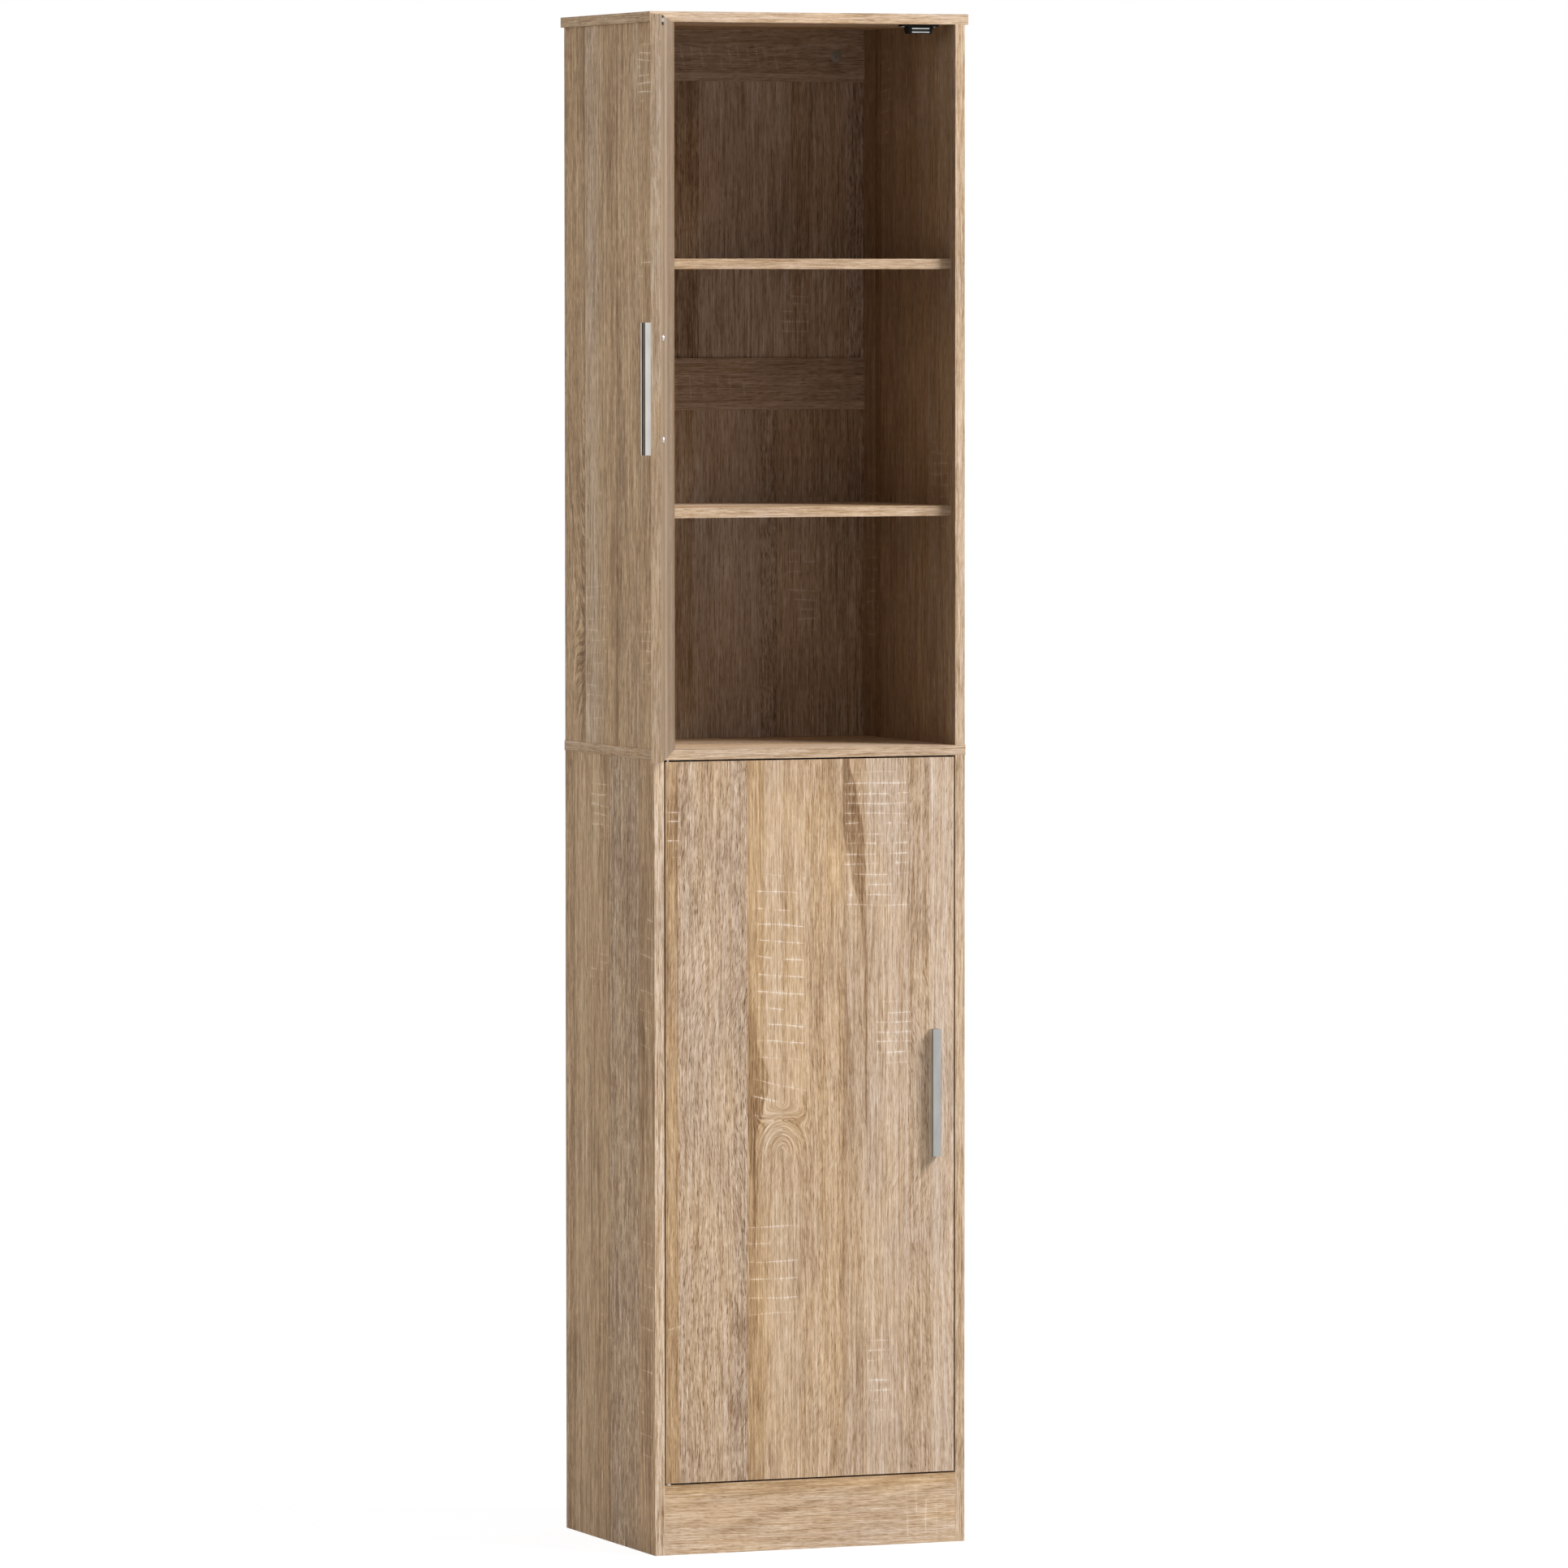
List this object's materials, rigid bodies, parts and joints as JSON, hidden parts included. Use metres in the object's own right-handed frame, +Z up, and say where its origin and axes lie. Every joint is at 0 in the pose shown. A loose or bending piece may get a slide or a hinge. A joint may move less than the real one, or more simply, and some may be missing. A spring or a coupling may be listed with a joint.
{
  "type": "bathroom cabinet",
  "caption": "Tall narrow free-standing bathroom cabinet in wood-effect board, with an upper and a lower side-hinged door, bar handles, open shelves inside and a plinth.",
  "frame": {"origin": "on the floor, under the middle of the carcass's front edges", "axes": "+X the cabinet's right as seen from the front, +Y from the doors to the back, +Z up"},
  "size_m": [0.5258, 0.628, 1.8],
  "materials": {
    "oak_board": "satin laminate",
    "hardboard": "satin laminate",
    "beech_dowel": "raw",
    "satin_aluminium": "satin",
    "black_plastic": "matte",
    "nylon": "matte",
    "magnet": "matte",
    "zinc": "die-cast",
    "zinc_plated_steel": "plated"
  },
  "bodies": {
    "carcass": {"board_screws": "zinc_plated_steel", "bottom_board": "oak_board", "cam_bolts": "zinc_plated_steel", "cam_locks": "zinc", "catch_screws": "zinc_plated_steel", "dowels": "beech_dowel", "lower_back_panel_high": "hardboard", "lower_back_panel_low": "hardboard", "lower_back_rail": "oak_board", "lower_catch_case": "black_plastic", "lower_catch_magnet": "magnet", "lower_catch_poles": "zinc_plated_steel", "lower_door_bottom_socket": "zinc_plated_steel", "lower_door_top_socket": "zinc_plated_steel", "lower_left_side": "oak_board", "lower_right_side": "oak_board", "lower_shelf_high": "oak_board", "lower_shelf_low": "oak_board", "middle_board": "oak_board", "plinth": "oak_board", "socket_screws": "zinc_plated_steel", "through_dowels": "beech_dowel", "top_back_rail": "oak_board", "top_board": "oak_board", "upper_back_panel_high": "hardboard", "upper_back_panel_low": "hardboard", "upper_back_rail": "oak_board", "upper_catch_case": "black_plastic", "upper_catch_magnet": "magnet", "upper_catch_poles": "zinc_plated_steel", "upper_door_bottom_socket": "zinc_plated_steel", "upper_door_top_socket": "zinc_plated_steel", "upper_left_side": "oak_board", "upper_right_side": "oak_board", "upper_shelf_high": "oak_board", "upper_shelf_low": "oak_board", "wall_screws": "zinc_plated_steel"},
    "upper_door": {"upper_door_bottom_leaf": "zinc_plated_steel", "upper_door_handle": "satin_aluminium", "upper_door_handle_screws": "zinc_plated_steel", "upper_door_leaf_screws": "zinc_plated_steel", "upper_door_panel": "oak_board", "upper_door_pins": "zinc_plated_steel", "upper_door_striker": "zinc_plated_steel", "upper_door_striker_screw": "zinc_plated_steel", "upper_door_top_leaf": "zinc_plated_steel", "upper_door_washer": "nylon"},
    "lower_door": {"lower_door_bottom_leaf": "zinc_plated_steel", "lower_door_handle": "satin_aluminium", "lower_door_handle_screws": "zinc_plated_steel", "lower_door_leaf_screws": "zinc_plated_steel", "lower_door_panel": "oak_board", "lower_door_pins": "zinc_plated_steel", "lower_door_striker": "zinc_plated_steel", "lower_door_striker_screw": "zinc_plated_steel", "lower_door_top_leaf": "zinc_plated_steel", "lower_door_washer": "nylon"}
  },
  "joints": [
    {"name": "upper_door_swing", "type": "hinge", "parent": "carcass", "child": "upper_door", "pos_m": [-0.1777, 0.0035, 1.365], "axis": [0, 0, -1], "range_deg": [-113.3, 1.7]},
    {"name": "lower_door_swing", "type": "hinge", "parent": "carcass", "child": "lower_door", "pos_m": [-0.1777, 0.0035, 0.506], "axis": [0, 0, -1], "range_deg": [0, 115]}
  ]
}
